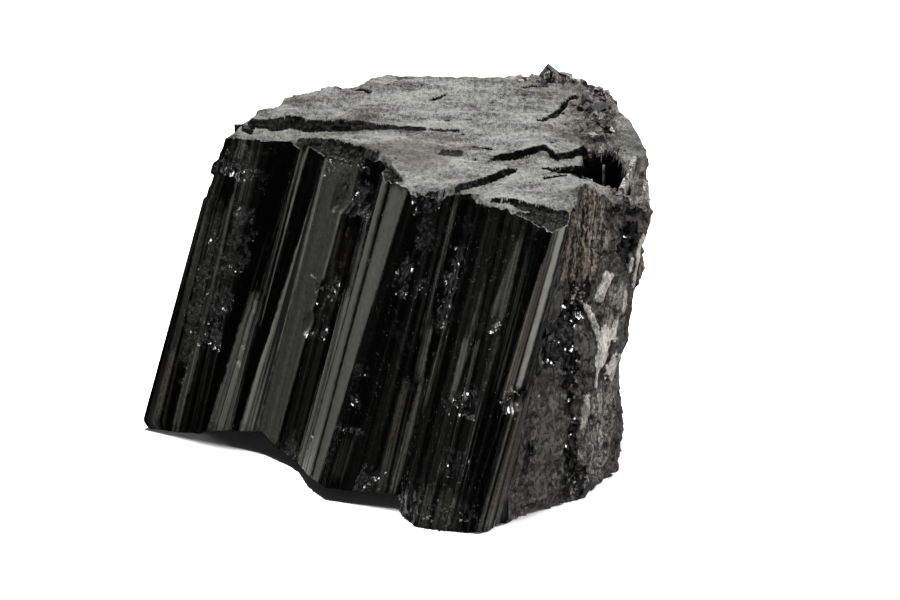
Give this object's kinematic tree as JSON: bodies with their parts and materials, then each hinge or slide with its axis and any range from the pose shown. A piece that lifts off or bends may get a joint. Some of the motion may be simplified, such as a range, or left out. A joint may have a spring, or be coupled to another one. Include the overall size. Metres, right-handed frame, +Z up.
{
  "type": "black tourmaline specimen",
  "caption": "Rough black tourmaline (schorl): ribbed, glossy prism faces that lean to the right, a matt fracture across the top and a broken, weathered right side.",
  "frame": {"origin": "centre of the bounding box in plan, at the height of the surface that the stone rests on", "axes": "+Z up, +X to the right along the ribbed front, towards the weathered side, +Y from the ribbed front to the back"},
  "size_m": [0.0824, 0.0508, 0.0619],
  "materials": {
    "tourmaline": "glossy black prism faces, matt grey fracture, brown-stained weathered side"
  },
  "bodies": {
    "root": {"tourmaline": "tourmaline"}
  },
  "joints": []
}
